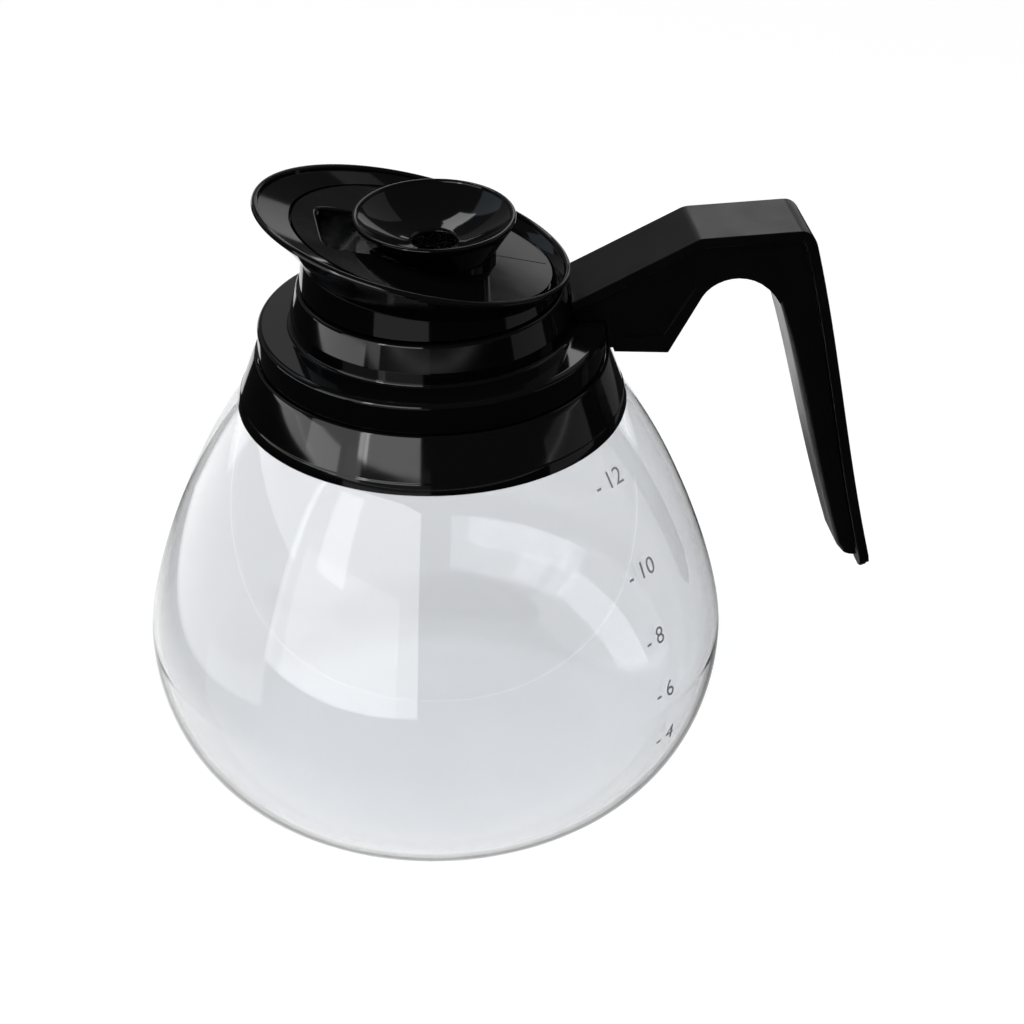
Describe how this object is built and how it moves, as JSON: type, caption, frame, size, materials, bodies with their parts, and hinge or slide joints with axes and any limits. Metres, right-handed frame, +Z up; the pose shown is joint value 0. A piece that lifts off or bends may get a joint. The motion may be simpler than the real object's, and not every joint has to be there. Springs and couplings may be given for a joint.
{
  "type": "glass coffee decanter",
  "caption": "Round glass coffee decanter with a black clamped collar, slanted pour funnel, lift-out brew-through lid and hooked side handle, for brewing into and pouring.",
  "frame": {"origin": "centre of the flat underside of the glass bowl", "axes": "+Z up along the bowl's axis, +X from the axis to the handle, -X to the pouring lip, +Y across"},
  "size_m": [0.2118, 0.165, 0.1838],
  "materials": {
    "clear_glass": "clear blown borosilicate glass",
    "black_gloss": "glossy black moulded plastic",
    "black_satin": "satin black moulded plastic",
    "silicone": "matte grey silicone",
    "steel": "stainless steel"
  },
  "bodies": {
    "decanter": {"glass_bowl": "clear_glass", "neck_cushion": "silicone", "neck_band": "steel", "mouth_gasket": "silicone", "collar_skirt": "black_gloss", "collar_ring": "black_gloss", "pour_funnel": "black_gloss", "handle_spine": "black_satin", "handle_body": "black_satin", "clamp_screw": "steel", "clamp_nut": "steel", "handle_screw_front": "steel", "handle_screw_rear": "steel"},
    "lid": {"lid_plate": "black_gloss", "drip_cup": "black_gloss"}
  },
  "joints": [
    {"name": "lid_lift", "type": "slide", "parent": "decanter", "child": "lid", "axis": [0, 0, 1], "range_m": [0, 0.06]}
  ]
}
